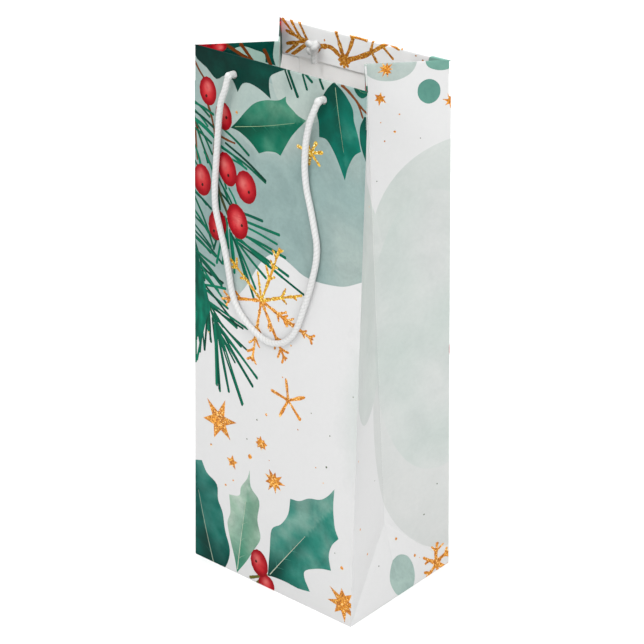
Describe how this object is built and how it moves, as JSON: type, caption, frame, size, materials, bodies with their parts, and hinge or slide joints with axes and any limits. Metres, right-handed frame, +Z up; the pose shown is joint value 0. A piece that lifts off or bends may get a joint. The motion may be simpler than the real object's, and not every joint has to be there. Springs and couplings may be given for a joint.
{
  "type": "wine gift bag",
  "caption": "Tall narrow paper gift bag for one bottle, with tucked side gussets, a turned-in top edge, a glued block bottom and knotted cord handles that swing.",
  "frame": {"origin": "middle of the base at the height of the surface that the bag stands on", "axes": "+Z up along the bag's height, -Y out of the front panel, +X towards the right gusset seen from the front"},
  "size_m": [0.127, 0.095, 0.3298],
  "materials": {
    "printed_paper": "satin laminated print",
    "plain_paper": "uncoated white",
    "greyboard": "matte",
    "handle_cord": "twisted cord"
  },
  "bodies": {
    "base": {"bottom_front_flap": "plain_paper", "bottom_back_flap": "plain_paper", "bottom_left_flap": "plain_paper", "bottom_right_flap": "plain_paper", "base_board": "greyboard"},
    "front_wall": {"front_panel": "printed_paper", "front_hem": "printed_paper", "front_reinforcement_card": "greyboard", "front_handle_knots": "handle_cord"},
    "back_wall": {"back_panel": "printed_paper", "back_hem": "printed_paper", "back_reinforcement_card": "greyboard", "back_handle_knots": "handle_cord", "glue_seam_tab": "plain_paper"},
    "right_gusset_front": {"right_gusset_front_half": "printed_paper", "right_gusset_front_hem": "printed_paper"},
    "right_gusset_rear": {"right_gusset_rear_half": "printed_paper", "right_gusset_rear_hem": "printed_paper"},
    "left_gusset_front": {"left_gusset_front_half": "printed_paper", "left_gusset_front_hem": "printed_paper"},
    "left_gusset_rear": {"left_gusset_rear_half": "printed_paper", "left_gusset_rear_hem": "printed_paper"},
    "front_handle": {"front_handle_cord": "handle_cord"},
    "back_handle": {"back_handle_cord": "handle_cord"}
  },
  "joints": [
    {"name": "front_lean", "type": "hinge", "parent": "base", "child": "front_wall", "pos_m": [0, -0.0475, 0], "axis": [-1, 0, 0], "range_deg": [-1.9, 2.1]},
    {"name": "back_lean", "type": "hinge", "parent": "base", "child": "back_wall", "pos_m": [0, 0.0475, 0], "axis": [1, 0, 0], "range_deg": [-1.95, 2.15]},
    {"name": "right_gusset_front_fold", "type": "hinge", "parent": "front_wall", "child": "right_gusset_front", "pos_m": [0.0635, -0.0475, 0], "axis": [0.7071, -0.7071, 0], "range_deg": [-2.76, 3.04], "deforming": ["right_gusset_front_half", "right_gusset_front_hem"]},
    {"name": "right_gusset_rear_fold", "type": "hinge", "parent": "back_wall", "child": "right_gusset_rear", "pos_m": [0.0635, 0.0475, 0], "axis": [-0.7071, -0.7071, 0], "range_deg": [-2.76, 3.04], "deforming": ["right_gusset_rear_half", "right_gusset_rear_hem"]},
    {"name": "left_gusset_front_fold", "type": "hinge", "parent": "front_wall", "child": "left_gusset_front", "pos_m": [-0.0635, -0.0475, 0], "axis": [0.7071, 0.7071, 0], "range_deg": [-2.76, 3.04], "deforming": ["left_gusset_front_half", "left_gusset_front_hem"]},
    {"name": "left_gusset_rear_fold", "type": "hinge", "parent": "back_wall", "child": "left_gusset_rear", "pos_m": [-0.0635, 0.0475, 0], "axis": [-0.7071, 0.7071, 0], "range_deg": [-2.76, 3.04], "deforming": ["left_gusset_rear_half", "left_gusset_rear_hem"]},
    {"name": "front_handle_swing", "type": "hinge", "parent": "front_wall", "child": "front_handle", "pos_m": [0, -0.04088, 0.31896], "axis": [-1, 0, 0], "range_deg": [0, 180]},
    {"name": "back_handle_swing", "type": "hinge", "parent": "back_wall", "child": "back_handle", "pos_m": [0, 0.04088, 0.31896], "axis": [1, 0, 0], "range_deg": [0, 180]}
  ],
  "couplings": [
    {"joint": "back_lean", "follows": "front_lean", "ratio": 1},
    {"joint": "right_gusset_front_fold", "follows": "front_lean", "ratio": 1.4142},
    {"joint": "right_gusset_rear_fold", "follows": "front_lean", "ratio": 1.4142},
    {"joint": "left_gusset_front_fold", "follows": "front_lean", "ratio": 1.4142},
    {"joint": "left_gusset_rear_fold", "follows": "front_lean", "ratio": 1.4142}
  ]
}
